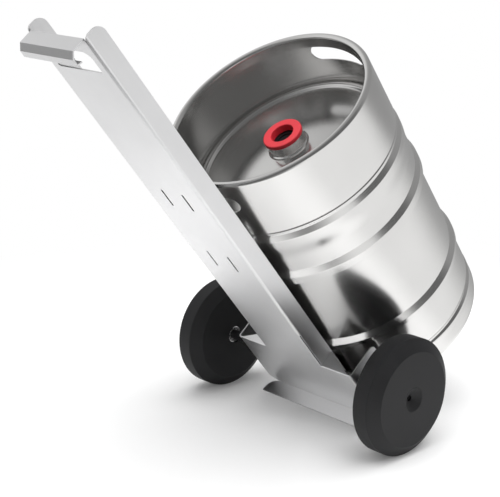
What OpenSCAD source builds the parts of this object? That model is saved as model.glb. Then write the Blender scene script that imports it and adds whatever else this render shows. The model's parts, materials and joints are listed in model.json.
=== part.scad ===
// Keg trolley with a standard half-barrel keg on its toe plate, in millimetres.
//
// Each sub-part is drawn with the trolley standing upright and the origin on the axle's centre:
// +X to the right-hand wheel, +Y towards the keg, +Z up along the frame. in_rest_pose() then tips
// the trolley back until the rear edge of the toe plate touches the floor. The keg and the toe
// plate are drawn in the keg's own frame, which leans forward a little from the trolley's.

/* [Wheels] */
// Diameter of a wheel over its tread
wheel_d = 225; // [210:1:240]
// Width of a wheel between its flat faces
wheel_w = 64; // [60:1:76]
// Width of the tread between the two bevels
tread_w = 32; // [26:1:40]
// Diameter of the flat face inside the bevel
face_d = 181; // [150:1:190]
// Distance between the middles of the two wheels
wheel_track = 480; // [470:1:520]
// Diameter of the dished hub cap at the wheel's face
cap_d = 47; // [42:0.5:56]
// Depth of the hub cap's dish
dish_depth = 10.5; // [8:0.5:13]
// Diameter of the hole in the middle of the hub cap
dish_hole_d = 11; // [8:0.5:13]

/* [Axle] */
// Diameter of the axle
axle_d = 15; // [12:0.5:16]
// Outer diameter of a wheel bearing
bearing_d = 35; // [32:0.5:38]
// Width of a wheel bearing
bearing_w = 11; // [9:0.5:12]
// Diameter of a bearing ball
ball_d = 6; // [5:0.25:6.5]
// Number of balls in a bearing
ball_count = 8; // [6:1:9]
// Radial gap between a bearing's two rings
race_gap = 4; // [3:0.25:4.5]
// Distance between the two bearings in a wheel
bearing_gap = 15; // [10:1:18]
// Depth of the inner bearing below the wheel's inner face
hub_recess = 4; // [2:0.5:8]
// Thickness of the washer at the axle's end
washer_t = 2.5; // [1.5:0.5:3]
// Thread diameter of the axle's end screws
end_screw_d = 8; // [6:0.5:9]
// Height of an end screw's head
end_head_h = 6; // [4:0.5:6.5]
// Diameter of an end screw's head
end_head_d = 13; // [11:0.5:16]
// Length of an end screw's shank in the axle
end_screw_len = 20; // [12:1:40]
// Outer diameter of a shaft collar
collar_d = 28; // [24:0.5:34]
// Width of a shaft collar
collar_w = 10; // [8:0.5:16]
// Thread diameter of a collar's grub screw
grub_d = 5; // [4:0.5:6]

/* [Frame sheet] */
// Thickness of the folded sheet and of the toe plate
sheet_t = 2.5; // [2:0.25:4]
// Outer radius of the folds
fold_r = 6; // [5.5:0.5:8]
// Outer width of the upright channel
channel_w = 156; // [144:1:160]
// Depth of the upright channel, from its back to the edges of its flanges
channel_depth = 37.5; // [36:0.5:42]
// Distance of the channel's back behind the axle's centre
web_back = 19.4; // [16:0.2:20]
// Height of the frame's top above the axle's centre
frame_top = 893.5; // [800:0.5:1000]
// Radius of the front corner at the top of each flange
flange_corner_r = 20; // [8:1:24]
// Outer width of the foot, over its two side flanges
foot_w = 306.4; // [290:0.2:340]
// Depth of the foot's side flanges, from the back to their front edges
foot_depth = 77.8; // [60:0.2:90]
// Height of the foot's top edge above the axle's centre
foot_top = 43; // [35:1:60]
// Radius of the front corner at the top of each side flange
foot_corner_r = 10; // [4:1:20]
// Radius of the foot's lower corners and of the lip's corners, on either side of the crease
crease_corner_r = 27; // [15:1:32]
// Length of the slit that frees each flange from the web above the foot
slit_len = 94; // [40:1:140]
// Width of the slit
slit_w = 2; // [1.5:0.1:3]

/* [Handle] */
// Width of the hand hole
hand_hole_w = 116; // [90:1:126]
// Height of the hand hole
hand_hole_h = 44; // [35:0.5:60]
// Distance of the hand hole below the frame's top
hand_hole_drop = 34; // [30:0.5:50]
// Radius of the hand hole's upper corners
hand_hole_r = 18; // [8:1:22]
// Radius of the hand hole's lower corners
hand_hole_low_r = 5; // [3:0.5:10]
// Width of the folded grip
grip_w = 140; // [120:1:146]
// How far the grip's top lies below the tops of the flanges
grip_drop = 4.5; // [0:0.5:8]
// Length of the grip's flat top, behind the web
grip_top = 25; // [20:0.5:30]
// How far back the grip's rear corner lies behind the web
grip_back = 33.5; // [30:0.5:42]
// How far the grip's rear corner lies below its top
grip_back_drop = 10; // [8:0.5:16]
// How far back the grip's lower corner lies behind the web
grip_low = 34; // [28:0.5:40]
// How far the grip's lower corner lies below its top
grip_low_drop = 21.5; // [18:0.5:28]
// How far the lip that ends the grip reaches back towards the web
grip_lip = 9.5; // [5:0.5:12]

/* [Rim catch] */
// Height of the slots in the web
slot_h = 43; // [38:1:60]
// Width of the slots in the web
slot_w = 5; // [4:0.25:7]
// Distance between the middles of the two slots of a pair
slot_pitch = 55; // [50:0.5:66]
// Distance from the upper pair of slots down to the lower pair
slot_drop = 167; // [120:1:220]
// Thickness of the catch's yoke and of its arm
catch_t = 3; // [2:0.25:4]
// Diameter of the catch's pin
catch_pin_d = 8; // [6:0.5:9]
// Distance of the pin in front of the axle's centre line
catch_pin_y = 6; // [3:0.5:8]
// Height of the lowered arm above the keg's rim
catch_clear = 8; // [4:0.5:14]
// Width of the catch's arm
catch_w = 40; // [24:1:44]
// Length of the catch's turned-down lip
catch_lip = 20; // [14:0.5:21]

/* [Keg] */
// Height of the keg
keg_h = 592; // [570:1:620]
// Diameter of the keg over its rolling hoops
hoop_d = 410; // [402:0.5:414]
// Diameter of the keg between its hoops
keg_d = 395.4; // [385:0.2:398]
// Diameter of the upper chime
chime_d = 403; // [398:0.2:406]
// Height of the upper chime, from its rim down to the seam
chime_h = 126; // [110:1:140]
// Height of the lower chime, from its foot up to the seam
foot_chime_h = 60; // [52:1:70]
// How far the shoulder under the upper chime stands out beyond the chime
shoulder_out = 1.6; // [0.6:0.2:4]
// Wall thickness of the keg's shells
keg_wall = 1.3; // [1:0.1:2]
// Wall thickness of the chimes
chime_wall = 1.8; // [1.4:0.1:3]
// Gap between the keg's hoops and the edges of the channel
keg_gap = 6.5; // [4.5:0.1:9]
// Lean of the keg, and of the square to the toe plate, forward of the frame
keg_lean = 2.63; // [1.5:0.01:4]
// Radius of the roll at the foot of the lower chime
foot_roll_r = 22; // [14:0.5:26]
// Radius of the roll at the upper chime's rim
rim_roll_r = 7.2; // [5:0.2:9]
// Depth of the rim's inner lip below the rim's top
rim_lip = 25; // [15:0.5:32]
// Width of the hand holes in the upper chime
keg_hole_w = 130; // [100:1:140]
// Height of the hand holes in the upper chime
keg_hole_h = 35; // [26:0.5:40]
// Distance of the hand holes' middle below the rim's top
keg_hole_drop = 49; // [46:0.5:56]
// Diameter of the drain holes in the two chimes
drain_d = 9; // [6:0.5:11]

/* [Keg valve] */
// Outer diameter of the neck
neck_d = 72; // [68:0.5:84]
// Bore of the neck
neck_bore = 60; // [56:0.5:64]
// Distance of the neck's cap below the rim's top
neck_drop = 68; // [60:0.5:84]
// Height of the neck above the keg's head
neck_h = 23; // [18:0.5:30]
// Outer diameter of the neck's cap ring
cap_ring_d = 76; // [70:0.5:86]
// Opening of the neck's cap ring
cap_ring_bore = 44.5; // [40:0.5:52]
// Thickness of the cap ring above the neck
cap_ring_t = 8; // [5:0.5:10]
// Travel of the valve's plunger
valve_travel = 6; // [4:0.5:8]
// Diameter of the valve's plunger
plunger_d = 38; // [30:0.5:40]
// Diameter of the spear tube
spear_d = 16; // [12:0.5:20]
// Wall thickness of the spear tube
spear_wall = 1.5; // [1:0.1:2.5]
// Wire diameter of the valve's spring
spring_wire = 2; // [1.2:0.1:2.4]
// Number of the spring's turns
spring_turns = 5; // [4:1:7]

/* [Pose] */
// Angle that the trolley is tipped back by
tilt = 38.3; // [34:0.1:44]

/* [Hidden] */
$fn = 96;

// Overrun of every cut past the face it starts from
over = 1;
// Running clearance in the bearings and on the pins, on the radius
play = 0.05;
// Clearance of a hole round a shaft that is clamped or pinned, on the radius
fit = 0.15;
// Clearance between parts of different bodies that pass each other
clear = 0.3;

// Wheel and hub, measured along the axle
wheel_r = wheel_d / 2;
wheel_in = wheel_track / 2 - wheel_w / 2;
wheel_out = wheel_track / 2 + wheel_w / 2;
bevel_x = (wheel_w - tread_w) / 2;
inner_bearing_x = wheel_in + hub_recess;
outer_bearing_x = inner_bearing_x + bearing_w + bearing_gap;
hub_end = outer_bearing_x + bearing_w;
// The axle stops short of the outer bearing, so that the washer clamps the bearing
axle_end = hub_end - 0.5;
pitch_r = (bearing_d + axle_d) / 4;
inner_ring_r = pitch_r - race_gap / 2;
outer_ring_r = pitch_r + race_gap / 2;
shoulder_r = outer_ring_r + 1;
spacer_r = inner_ring_r - 0.5;
cap_skirt = 8;
cap_lip = 0.5;
cap_wall = 2.2;

// Frame
foot_in = foot_w / 2 - sheet_t;
channel_front = channel_depth - web_back;
web_mid = -web_back + sheet_t / 2;
grip_lip_drop = 2;
web_top = frame_top - grip_drop;
// Length of the slope that ends each flange's back edge above the grip
flange_slope = 8;
// Radius of the foot's top edges beside the channel
top_edge_r = 2;
grip_path = [
    [0, 0],
    [grip_top, 0],
    [grip_back, grip_back_drop],
    [grip_low, grip_low_drop],
    [grip_low - grip_lip, grip_low_drop + grip_lip_drop]
];
grip_points = [for (p = grip_path) [web_mid - p[0], web_top - sheet_t / 2 - p[1]]];

// Keg, measured along its axis from the point level with the axle
hoop_r = hoop_d / 2;
keg_r = keg_d / 2;
chime_r = chime_d / 2;
keg_bottom = -112;
keg_top = keg_bottom + keg_h;
// The shoulder under the upper chime, and the narrower waist below it
bead_r = chime_r + shoulder_out;
waist_r = keg_r + 2.3;
lower_seam = keg_bottom + foot_chime_h;
upper_seam = keg_top - chime_h;
// Heights at which each hoop steps out, is full, starts to fall and ends
low_hoop = [for (h = [83, 85, 94, 114]) lower_seam + h];
high_hoop = [for (h = [133, 130, 114, 92]) upper_seam - h];
low_hoop_r = hoop_r - 1.2;
// Which way each hoop steps from the body, 1 for out and -1 for in
low_turn = sign(low_hoop_r - keg_r);
high_turn = sign(hoop_r - keg_r);
// Distances below the upper seam at which the waist ends, the shoulder is full and it falls
waist_end = 70;
shoulder_full = 32;
shoulder_fall = 24;
// Weld bead and groove under the upper chime
weld_foot = 7;
weld_dip = 1.9;
weld_rise = 4.5;
weld_less = 0.3;
groove_h = 1.5;
groove_less = 0.9;
// Groove above the lower chime, and the chime's slight bead under it
foot_groove = 3;
foot_groove_h = 10;
foot_bead = 0.4;
foot_bead_rise = 8;
foot_bead_low = 12;
foot_bead_end = 18;
// Half the width of a round body of radius r, where it faces the channel's edges
function chord(r) = sqrt(pow(r, 2) - pow(channel_w / 2, 2));
keg_axis_y = channel_front + keg_gap + max(
    chord(low_hoop_r) - low_hoop[1] * sin(keg_lean),
    chord(hoop_r) - high_hoop[1] * sin(keg_lean),
    chord(bead_r) - (upper_seam - shoulder_full) * sin(keg_lean)
);
mid_seam = (low_hoop[3] + high_hoop[0]) / 2;
knuckle_r = 12;
knuckle_lift = 4;
base_slope = 23;
head_knuckle_r = 9;
head_knuckle_end = 150;
top_drain_h = 12;
foot_drain_h = 34;
foot_flat = 8;
shoulder_in = chime_r - chime_wall;
// The neck's top carries the cap ring
neck_top = keg_top - neck_drop - cap_ring_t;
head_top = neck_top - neck_h;
// Groove round the head, inside its knuckle, and the edge of its dome
head_middle_r = shoulder_in - 0.1 - head_knuckle_r;
head_groove = [head_middle_r - 9.1, upper_seam + 3.6];
head_edge = [head_middle_r - 10.1, upper_seam + 4.2];
// Domed bottom, from the edge of its knuckle down to its middle
base_in = keg_r - foot_groove - chime_wall;
base_middle_r = base_in - knuckle_r;
base_dome = 35;
base_low_h = lower_seam + knuckle_lift - knuckle_r * cos(base_slope) - base_dome;

// Toe plate, in the keg's frame: its rear lower edge lies on the floor
keg_tilt = tilt - keg_lean;
toe_under = keg_bottom - sheet_t;
toe_rear = -(wheel_r + keg_axis_y * sin(tilt) + toe_under * cos(keg_tilt)) / sin(keg_tilt);
toe_overhang = 9;
toe_front_r = keg_r - foot_roll_r + toe_overhang;
crease_y = (-web_back - keg_axis_y - keg_bottom * sin(keg_lean)) / cos(keg_lean);
crease_z = -crease_y * sin(keg_lean) + keg_bottom * cos(keg_lean);
lip_w = foot_w - 10;

// Rest pose: the origin lies under the middle of the whole part
grip_reach = min([for (p = grip_points) p[0] * cos(tilt) - p[1] * sin(tilt)]) - sheet_t / 2;
chime_reach = keg_axis_y * cos(tilt) + (keg_r - foot_roll_r) * cos(keg_tilt)
    - (keg_bottom + foot_roll_r) * sin(keg_tilt) + foot_roll_r;
rest_y = -(grip_reach + chime_reach) / 2;

// Catch: its lowered arm lies just above the rim's highest point at the back
rim_mid_r = chime_r - rim_roll_r;
rim_mid_h = keg_top - rim_roll_r;
rim_y = keg_axis_y - rim_mid_r * cos(keg_lean) + rim_mid_h * sin(keg_lean);
rim_z = rim_mid_r * sin(keg_lean) + rim_mid_h * cos(keg_lean);
catch_pin_z = rim_z + rim_roll_r + catch_clear + catch_t / 2;
knuckle_wall = 3;
knuckle_d = catch_pin_d + 2 * knuckle_wall;
// Gap between the lowered catch's lip and the rim's roll
catch_inside = 7;
catch_reach = norm([rim_y - catch_pin_y, rim_z - catch_pin_z]) + rim_roll_r + catch_inside;
// Share of the slots' height that lies below the pin
pin_share = 0.42;
slot_low = catch_pin_z - slot_h * pin_share;
cheek_in = slot_pitch / 2 - catch_t / 2;
cheek_drop = 14;
pin_head_t = 2;
pin_head_r = catch_pin_d / 2 + 2.5;
// The pin's tail beyond the cheek, with a groove for its clip
pin_tail = 8;
groove_in = 1;
groove_w = 1.5;
groove_depth = 1;
clip_t = 1.2;

// Valve, measured along the keg's axis
ring_skirt = 7;
lock_t = 2;
flange_t = 6;
lock_h = neck_top - ring_skirt - lock_t;
flange_h = lock_h - flange_t;
valve_room = 34;
valve_depth = valve_room + valve_travel;
valve_floor = flange_h - valve_depth;
valve_bore_r = plunger_d / 2 + 0.7;
valve_lip_r = plunger_d / 2 - 2.5;
valve_lip_t = 2.5;
plunger_top = lock_h - valve_lip_t - clear;
plunger_t = 8;
plunger_stem_r = 5;
stem_len = 22;
floor_t = 4;
spring_r = plunger_stem_r + spring_wire / 2 + 3;
spring_low = valve_floor + floor_t;
spring_high = plunger_top - plunger_t;
spear_low = base_low_h + keg_wall + 9;
neck_flare = 4;

// Tips the upright trolley back into its rest pose
module in_rest_pose() {
    translate([0, rest_y, wheel_r]) rotate([tilt, 0, 0]) children();
}

// Places what is drawn about the keg's axis
module in_keg_pose() {
    translate([0, keg_axis_y, 0]) rotate([-keg_lean, 0, 0]) children();
}

// Draws a right-hand part on its own side, or mirrored on the left
module on_side(side) {
    if (side == "right") children();
    else mirror([1, 0, 0]) children();
}

module both_sides() {
    on_side("right") children();
    on_side("left") children();
}

// Turns what is drawn along Z to lie along the axle, from x outward
module along_axle(x) {
    translate([x, 0, 0]) rotate([0, 90, 0]) children();
}

module tube(outer_r, inner_r, length) {
    difference() {
        cylinder(r = outer_r, h = length);
        translate([0, 0, -over]) cylinder(r = inner_r, h = length + 2 * over);
    }
}

// Points of an arc about a centre, from one angle to another
function arc(cx, cy, r, a0, a1, n) =
    [for (i = [0:n]) [cx + r * cos(a0 + (a1 - a0) * i / n), cy + r * sin(a0 + (a1 - a0) * i / n)]];

// Points of a soft S-shaped slope between two radii of a profile, both ends included
function slope(r0, h0, r1, h1, n) =
    [for (i = [0:n]) [r0 + (r1 - r0) * (1 - cos(180 * i / n)) / 2, h0 + (h1 - h0) * i / n]];

// Points of a shallow domed head, from its edge to the radius where it ends
function dome(edge_r, edge_h, end_r, end_h, n) =
    [for (i = [0:n]) let (r = edge_r + (end_r - edge_r) * i / n)
        [r, edge_h + (end_h - edge_h) * (pow(edge_r, 2) - pow(r, 2)) / (pow(edge_r, 2) - pow(end_r, 2))]];

// Section of a folded U: its back at y = 0, its edges towards +y
module u_section(width, depth, radius) {
    translate([-width / 2, radius]) square([width, depth - radius]);
    translate([radius - width / 2, 0]) square([width - 2 * radius, depth / 2]);
    for (s = [-1, 1]) translate([s * (width / 2 - radius), radius]) circle(r = radius);
}

module folded_u(width, depth, low, high) {
    translate([0, -web_back, low]) linear_extrude(high - low) difference() {
        u_section(width, depth, fold_r);
        translate([0, sheet_t]) u_section(width - 2 * sheet_t, depth, fold_r - sheet_t);
    }
}

// Rectangle with round corners, standing on the middle of its lower edge
module rounded_plate(width, height, radius) {
    translate([-width / 2, radius]) square([width, height - 2 * radius]);
    translate([radius - width / 2, 0]) square([width - 2 * radius, height]);
    for (x = [-1, 1], y = [radius, height - radius]) {
        translate([x * (width / 2 - radius), y]) circle(r = radius);
    }
}

// Cuts through the web, drawn in its plane with the lower edge at a height
module web_cut(x, low) {
    translate([x, sheet_t + over - web_back, low]) rotate([90, 0, 0])
        linear_extrude(sheet_t + 2 * over) children();
}

// Cuts the square corner off a flange's front edge, to leave a round one
module flange_corner(front, top, radius, width) {
    translate([-width / 2 - over, front - radius, top - radius]) difference() {
        cube([width + 2 * over, radius + over, radius + over]);
        translate([-over, 0, 0]) rotate([0, 90, 0]) cylinder(r = radius, h = width + 4 * over);
    }
}

// Cuts the square corner off a foot's or lip's outline drawn with the corner at the origin
module outline_corner(radius) {
    difference() {
        translate([-radius, -over]) square([radius + over, radius + over]);
        translate([-radius, radius]) circle(r = radius);
    }
}

// Hand hole with wide upper corners, standing on the middle of its lower edge
module hand_hole() {
    half = hand_hole_w / 2;
    middle = hand_hole_h / 2;
    for (s = [-1, 1]) {
        translate([s * (half - hand_hole_low_r), hand_hole_low_r]) circle(r = hand_hole_low_r);
        translate([s * (half - hand_hole_r), hand_hole_h - hand_hole_r]) circle(r = hand_hole_r);
    }
    translate([-half, hand_hole_low_r])
        square([hand_hole_w, hand_hole_h - hand_hole_r - hand_hole_low_r]);
    translate([hand_hole_low_r - half, 0]) square([hand_hole_w - 2 * hand_hole_low_r, middle]);
    translate([hand_hole_r - half, middle]) square([hand_hole_w - 2 * hand_hole_r, middle]);
}

// Corner plate between a flange of the channel and the top of the foot
module foot_gusset() {
    start = channel_w / 2 - sheet_t / 2;
    translate([0, 0, foot_top - sheet_t]) linear_extrude(sheet_t)
        polygon([[start, -web_back], [foot_w / 2 - fold_r, -web_back], [start, channel_front]]);
}

// Rounds the foot's top edge, from the channel to the side flange
module foot_top_edge() {
    translate([channel_w / 2, -web_back, foot_top - top_edge_r]) difference() {
        translate([0, -over, 0]) cube([foot_w, top_edge_r + over, top_edge_r + over]);
        translate([-over, top_edge_r, 0]) rotate([0, 90, 0])
            cylinder(r = top_edge_r, h = foot_w + 2 * over);
    }
}

// Bar of the sheet's thickness between two points of the grip's section
module grip_bar(a, b) {
    step = b - a;
    translate(a) rotate(atan2(step[1], step[0])) translate([0, -sheet_t / 2])
        square([norm(step), sheet_t]);
}

// Folded grip behind the frame's top
module grip() {
    translate([-grip_w / 2, 0, 0]) rotate([90, 0, 90]) linear_extrude(grip_w) {
        for (i = [1:len(grip_points) - 1]) grip_bar(grip_points[i - 1], grip_points[i]);
        for (i = [1:len(grip_points) - 1]) translate(grip_points[i]) circle(d = sheet_t);
    }
}

// One folded sheet: upright channel with slots, hand hole and grip, and the wide foot
module frame_sheet() {
    bottom = crease_z - 2 * fold_r;
    color("gainsboro") in_rest_pose() {
        difference() {
            union() {
                folded_u(channel_w, channel_depth, bottom, frame_top);
                folded_u(foot_w, foot_depth, bottom, foot_top);
                both_sides() foot_gusset();
            }
            both_sides() foot_top_edge();
            flange_corner(channel_front, frame_top, flange_corner_r, channel_w);
            flange_corner(foot_depth - web_back, foot_top, foot_corner_r, foot_w);
            // The grip starts below the tops of the flanges, and its ends stand clear of them
            web_cut(0, web_top - sheet_t) difference() {
                translate([sheet_t - channel_w / 2, 0])
                    square([channel_w - 2 * sheet_t, grip_drop + 2 * sheet_t]);
                translate([-grip_w / 2, -over]) square([grip_w, sheet_t + over]);
            }
            translate([-channel_w / 2 - over, 0, 0]) rotate([90, 0, 90])
                linear_extrude(channel_w + 2 * over) polygon([
                    [-web_back - over, web_top], [-web_back, web_top],
                    [flange_slope - web_back, frame_top], [flange_slope - web_back, frame_top + over],
                    [-web_back - over, frame_top + over]
                ]);
            web_cut(0, frame_top - hand_hole_drop - hand_hole_h) hand_hole();
            for (s = [-1, 1], low = [slot_low, slot_low - slot_drop]) {
                web_cut(s * slot_pitch / 2, low) rounded_plate(slot_w, slot_h, slot_w / 2 - 0.1);
            }
            for (s = [-1, 1]) translate([s * channel_w / 2, -web_back, foot_top]) rotate([0, 0, s * 45])
                translate([-slit_w / 2, -fold_r, 0]) cube([slit_w, 3 * fold_r, slit_len]);
            both_sides() translate([foot_w / 2, fold_r + over - web_back, crease_z])
                rotate([90, 0, 0]) linear_extrude(fold_r + 2 * over) outline_corner(crease_corner_r);
            along_axle(-foot_w) cylinder(r = axle_d / 2 + fit, h = 2 * foot_w);
            in_keg_pose() translate([-foot_w, -2 * foot_w, keg_bottom - foot_w])
                cube([2 * foot_w, 4 * foot_w, foot_w]);
        }
        grip();
    }
}

// Flat plate under the foot and the keg, with a lip behind the frame
module toe_plate() {
    color("gainsboro") in_rest_pose() in_keg_pose() translate([0, 0, toe_under])
        linear_extrude(sheet_t) difference() {
            union() {
                translate([-foot_w / 2, crease_y]) square([foot_w, -crease_y]);
                translate([-lip_w / 2, toe_rear]) square([lip_w, crease_y - toe_rear]);
                intersection() {
                    circle(r = toe_front_r);
                    translate([-foot_w / 2, -over]) square([foot_w, 2 * toe_front_r]);
                }
            }
            both_sides() {
                translate([foot_w / 2, crease_y]) outline_corner(crease_corner_r);
                translate([lip_w / 2, crease_y]) mirror([0, 1, 0]) outline_corner(crease_corner_r);
            }
        }
}

// Axle, tapped at both ends
module axle() {
    color("silver") in_rest_pose() difference() {
        along_axle(-axle_end) cylinder(r = axle_d / 2, h = 2 * axle_end);
        both_sides() along_axle(axle_end - end_screw_len - over)
            cylinder(r = end_screw_d / 2, h = end_screw_len + 2 * over);
    }
}

// Collars that hold the axle endways, inside the side flanges
module axle_collars() {
    color("dimgray") in_rest_pose() both_sides() difference() {
        along_axle(foot_in - collar_w) tube(collar_d / 2, axle_d / 2 + play, collar_w);
        translate([foot_in - collar_w / 2, 0, 0]) cylinder(r = grub_d / 2 + play, h = collar_d);
    }
}

module collar_grub_screws() {
    length = collar_d / 2 - axle_d / 2 - 0.5;
    color("black") in_rest_pose() both_sides()
        translate([foot_in - collar_w / 2, 0, axle_d / 2 + play]) difference() {
            cylinder(r = grub_d / 2, h = length);
            translate([0, 0, length / 2]) cylinder(d = grub_d / 2, h = length, $fn = 6);
        }
}

// Sleeves on the axle between the side flanges and the wheels' bearings
module axle_spacers() {
    color("black") in_rest_pose() both_sides() along_axle(foot_w / 2)
        tube(spacer_r, axle_d / 2 + fit, inner_bearing_x - foot_w / 2);
}

// Round track for the balls, cut from a bearing's ring
module ball_track() {
    translate([0, 0, bearing_w / 2]) rotate_extrude() translate([pitch_r, 0]) circle(r = ball_d / 2 + play);
}

module at_bearings() {
    for (x = [inner_bearing_x, outer_bearing_x]) along_axle(x) children();
}

module bearing_inner_rings() {
    color("silver") in_rest_pose() both_sides() at_bearings() difference() {
        tube(inner_ring_r, axle_d / 2 + play, bearing_w);
        ball_track();
    }
}

module bearing_outer_rings(side) {
    color("silver") in_rest_pose() on_side(side) at_bearings() difference() {
        tube(bearing_d / 2, outer_ring_r, bearing_w);
        ball_track();
    }
}

module bearing_balls(side) {
    color("white") in_rest_pose() on_side(side) at_bearings()
        for (i = [0:ball_count - 1]) rotate([0, 0, i * 360 / ball_count])
            translate([pitch_r, 0, bearing_w / 2]) sphere(d = ball_d, $fn = 32);
}

// Sleeves that keep a wheel's two inner rings apart
module bearing_distance_sleeves() {
    color("silver") in_rest_pose() both_sides() along_axle(inner_bearing_x + bearing_w)
        tube(spacer_r, axle_d / 2 + fit, bearing_gap);
}

module axle_end_washers() {
    color("silver") in_rest_pose() both_sides() along_axle(hub_end)
        tube(inner_ring_r, end_screw_d / 2 + fit, washer_t);
}

// Screws in the axle's ends, with hexagon sockets
module axle_end_screws() {
    color("black") in_rest_pose() both_sides() along_axle(hub_end + washer_t) {
        difference() {
            cylinder(r = end_head_d / 2, h = end_head_h);
            translate([0, 0, end_head_h / 3]) cylinder(d = end_head_d / 2, h = end_head_h, $fn = 6);
        }
        translate([0, 0, -washer_t - end_screw_len + over])
            cylinder(r = end_screw_d / 2 - play, h = washer_t + end_screw_len - over);
    }
}

// Solid wheel with bevelled edges, bored for its bearings and hub cap
module wheel(side) {
    color("#333333") in_rest_pose() on_side(side) difference() {
        along_axle(wheel_in) rotate_extrude() polygon([
            [0, 0], [face_d / 2, 0], [wheel_r, bevel_x],
            [wheel_r, wheel_w - bevel_x], [face_d / 2, wheel_w], [0, wheel_w]
        ]);
        along_axle(wheel_in - over) cylinder(r = shoulder_r, h = wheel_w + 2 * over);
        along_axle(wheel_in - over)
            cylinder(r = bearing_d / 2 + play, h = hub_recess + bearing_w + over);
        along_axle(outer_bearing_x) cylinder(r = bearing_d / 2 + play, h = wheel_w);
        along_axle(wheel_out - cap_skirt) cylinder(r = cap_d / 2 + play, h = cap_skirt + over);
    }
}

// Dished cap pressed into the wheel's outer face
module hub_cap(side) {
    color("#333333") in_rest_pose() on_side(side) along_axle(wheel_out) rotate_extrude() polygon([
        [dish_hole_d / 2, -dish_depth], [cap_d / 2 - cap_lip, 0], [cap_d / 2, 0],
        [cap_d / 2, -cap_skirt], [bearing_d / 2, -cap_skirt],
        [dish_hole_d / 2, -dish_depth - cap_wall]
    ]);
}

// Yoke that hangs in the upper slots and carries the catch's pin
module catch_yoke() {
    slot_end = 2;
    stop_h = 4;
    yoke_low = slot_low + slot_end;
    yoke_high = slot_low + slot_h - slot_end;
    web_front = sheet_t - web_back;
    stop_y = catch_pin_y - catch_t / 2 - clear;
    color("#2b2b2b") in_rest_pose() difference() {
        union() {
            for (s = [-1, 1]) translate([s * slot_pitch / 2 - catch_t / 2, 0, 0]) {
                translate([0, web_front, catch_pin_z - cheek_drop])
                    cube([catch_t, catch_pin_y - web_front, 2 * cheek_drop]);
                translate([0, catch_pin_y, catch_pin_z]) rotate([0, 90, 0])
                    cylinder(r = cheek_drop, h = catch_t);
                translate([0, -web_back + sheet_t / 2, yoke_low])
                    cube([catch_t, sheet_t / 2, yoke_high - yoke_low]);
                translate([0, web_front, yoke_low]) cube([catch_t, catch_t, yoke_high - yoke_low]);
            }
            translate([-cheek_in - over, web_front, yoke_low])
                cube([2 * (cheek_in + over), catch_t, yoke_high - yoke_low]);
            translate([-cheek_in - over, stop_y - catch_t, catch_pin_z + knuckle_d / 2 + slot_end])
                cube([2 * (cheek_in + over), catch_t, stop_h]);
        }
        translate([-slot_pitch, catch_pin_y, catch_pin_z]) rotate([0, 90, 0])
            cylinder(r = catch_pin_d / 2 + play, h = 2 * slot_pitch);
    }
}

// Pin with a head at one end and a clip's groove beyond the other cheek
module catch_pin() {
    length = slot_pitch + catch_t + pin_tail;
    color("silver") in_rest_pose() translate([-slot_pitch / 2 - catch_t / 2, catch_pin_y, catch_pin_z])
        rotate([0, 90, 0]) {
            translate([0, 0, -pin_head_t]) cylinder(r = pin_head_r, h = pin_head_t);
            difference() {
                cylinder(r = catch_pin_d / 2, h = length);
                translate([0, 0, slot_pitch + catch_t + groove_in])
                    tube(catch_pin_d, catch_pin_d / 2 - groove_depth, groove_w);
            }
        }
}

module catch_pin_clips() {
    color("silver") in_rest_pose()
        translate([slot_pitch / 2 + catch_t / 2 + groove_in + (groove_w - clip_t) / 2, catch_pin_y,
            catch_pin_z]) rotate([0, 90, 0]) difference() {
                tube(pin_head_r, catch_pin_d / 2 - groove_depth + play, clip_t);
                translate([0, -catch_pin_d / 4, -over]) cube([catch_pin_d, catch_pin_d / 2, 4 * over]);
            }
}

// Catch, folded up inside the channel; lowered, its lip drops inside the keg's rim
module rim_catch() {
    half = cheek_in - clear;
    color("#2b2b2b") in_rest_pose() translate([0, catch_pin_y, catch_pin_z]) difference() {
        union() {
            translate([-half, 0, 0]) rotate([0, 90, 0]) cylinder(r = knuckle_d / 2, h = 2 * half);
            translate([-catch_w / 2, -catch_t / 2, 0]) cube([catch_w, catch_t, catch_reach + catch_t]);
            translate([-catch_w / 2, -catch_t / 2, catch_reach])
                cube([catch_w, catch_t / 2 + catch_lip, catch_t]);
        }
        translate([-slot_pitch, 0, 0]) rotate([0, 90, 0])
            cylinder(r = catch_pin_d / 2 + play, h = 2 * slot_pitch);
    }
}

function reversed(list) = [for (i = [len(list) - 1:-1:0]) list[i]];

// Profile of the keg's side, from the lower seam up to the upper one, set in by the wall
function low_side(inset) = concat(
    slope(keg_r - foot_groove - inset, lower_seam, keg_r - inset, lower_seam + foot_groove_h, 6),
    slope(keg_r - inset, low_hoop[0] + low_turn * inset, low_hoop_r - inset,
        low_hoop[1] + low_turn * inset, 6),
    slope(low_hoop_r - inset, low_hoop[2], keg_r - inset, low_hoop[3], 6),
    [[keg_r - inset, mid_seam]]
);
function high_side(inset) = concat(
    [[keg_r - inset, mid_seam]],
    slope(keg_r - inset, high_hoop[0] + high_turn * inset, hoop_r - inset,
        high_hoop[1] + high_turn * inset, 6),
    slope(hoop_r - inset, high_hoop[2], waist_r - inset, high_hoop[3], 6),
    slope(waist_r - inset, upper_seam - waist_end, bead_r - inset, upper_seam - shoulder_full, 6),
    slope(bead_r - inset, upper_seam - shoulder_fall, chime_r - weld_dip - inset,
        upper_seam - weld_foot, 6)
);

// Half of the bottom's section, from its middle out to the side
function base(inset) = concat(
    reversed(dome(base_middle_r + (knuckle_r - inset) * sin(base_slope),
        base_low_h + base_dome + inset * cos(base_slope), 0, base_low_h + inset, 8)),
    arc(base_middle_r, lower_seam + knuckle_lift, knuckle_r - inset, base_slope - 90, 0, 4)
);

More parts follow.
